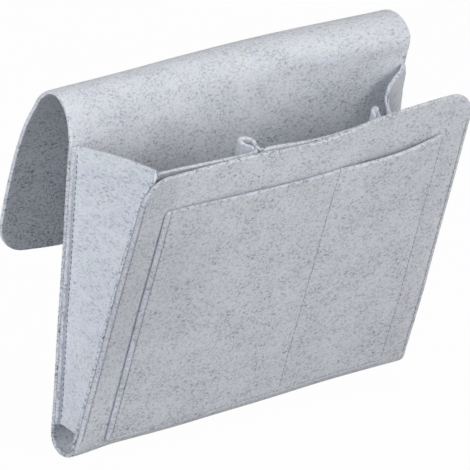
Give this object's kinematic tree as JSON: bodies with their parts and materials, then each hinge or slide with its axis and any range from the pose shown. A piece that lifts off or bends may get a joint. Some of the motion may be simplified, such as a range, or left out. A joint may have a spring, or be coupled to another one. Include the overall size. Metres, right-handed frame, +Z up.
{
  "type": "bedside caddy",
  "caption": "Felt bedside caddy with a hanging flap, tapered side gussets, a divided outer pocket and an inner panel with pen loops.",
  "frame": {"origin": "middle of the back panel's rear face, 115 mm above the start of the bottom bend", "axes": "+X along the bed to the right of a person facing the front, +Y toward the bed, +Z up"},
  "size_m": [0.32, 0.1609, 0.2675],
  "materials": {
    "felt": "mottled light grey pressed felt",
    "thread": "grey sewing thread"
  },
  "bodies": {
    "back": {"back_panel": "felt", "left_gusset": "felt", "right_gusset": "felt", "back_seam_left": "thread", "back_seam_right": "thread"},
    "front": {"front_panel": "felt", "front_pocket": "felt", "inner_panel": "felt", "front_seam_left": "thread", "front_seam_right": "thread", "pocket_seam_left": "thread", "pocket_seam_right": "thread", "pocket_seam_middle": "thread", "pocket_seam_bottom": "thread", "loop_seam_left": "thread", "loop_seam_right": "thread"},
    "crown": {"flap_crown": "felt"},
    "tail": {"flap_tail": "felt"}
  },
  "joints": [
    {"name": "front_fold", "type": "hinge", "parent": "back", "child": "front", "pos_m": [0, -0.01357, -0.12691], "axis": [1, 0, 0], "range_deg": [-14, 0], "deforming": ["left_gusset", "right_gusset"]},
    {"name": "flap_front_bend", "type": "hinge", "parent": "back", "child": "crown", "pos_m": [0, 0.0033, 0.1312], "axis": [1, 0, 0], "range_deg": [0, 80]},
    {"name": "flap_rear_bend", "type": "hinge", "parent": "crown", "child": "tail", "pos_m": [0, 0.0269, 0.13579], "axis": [1, 0, 0], "range_deg": [0, 80]}
  ]
}
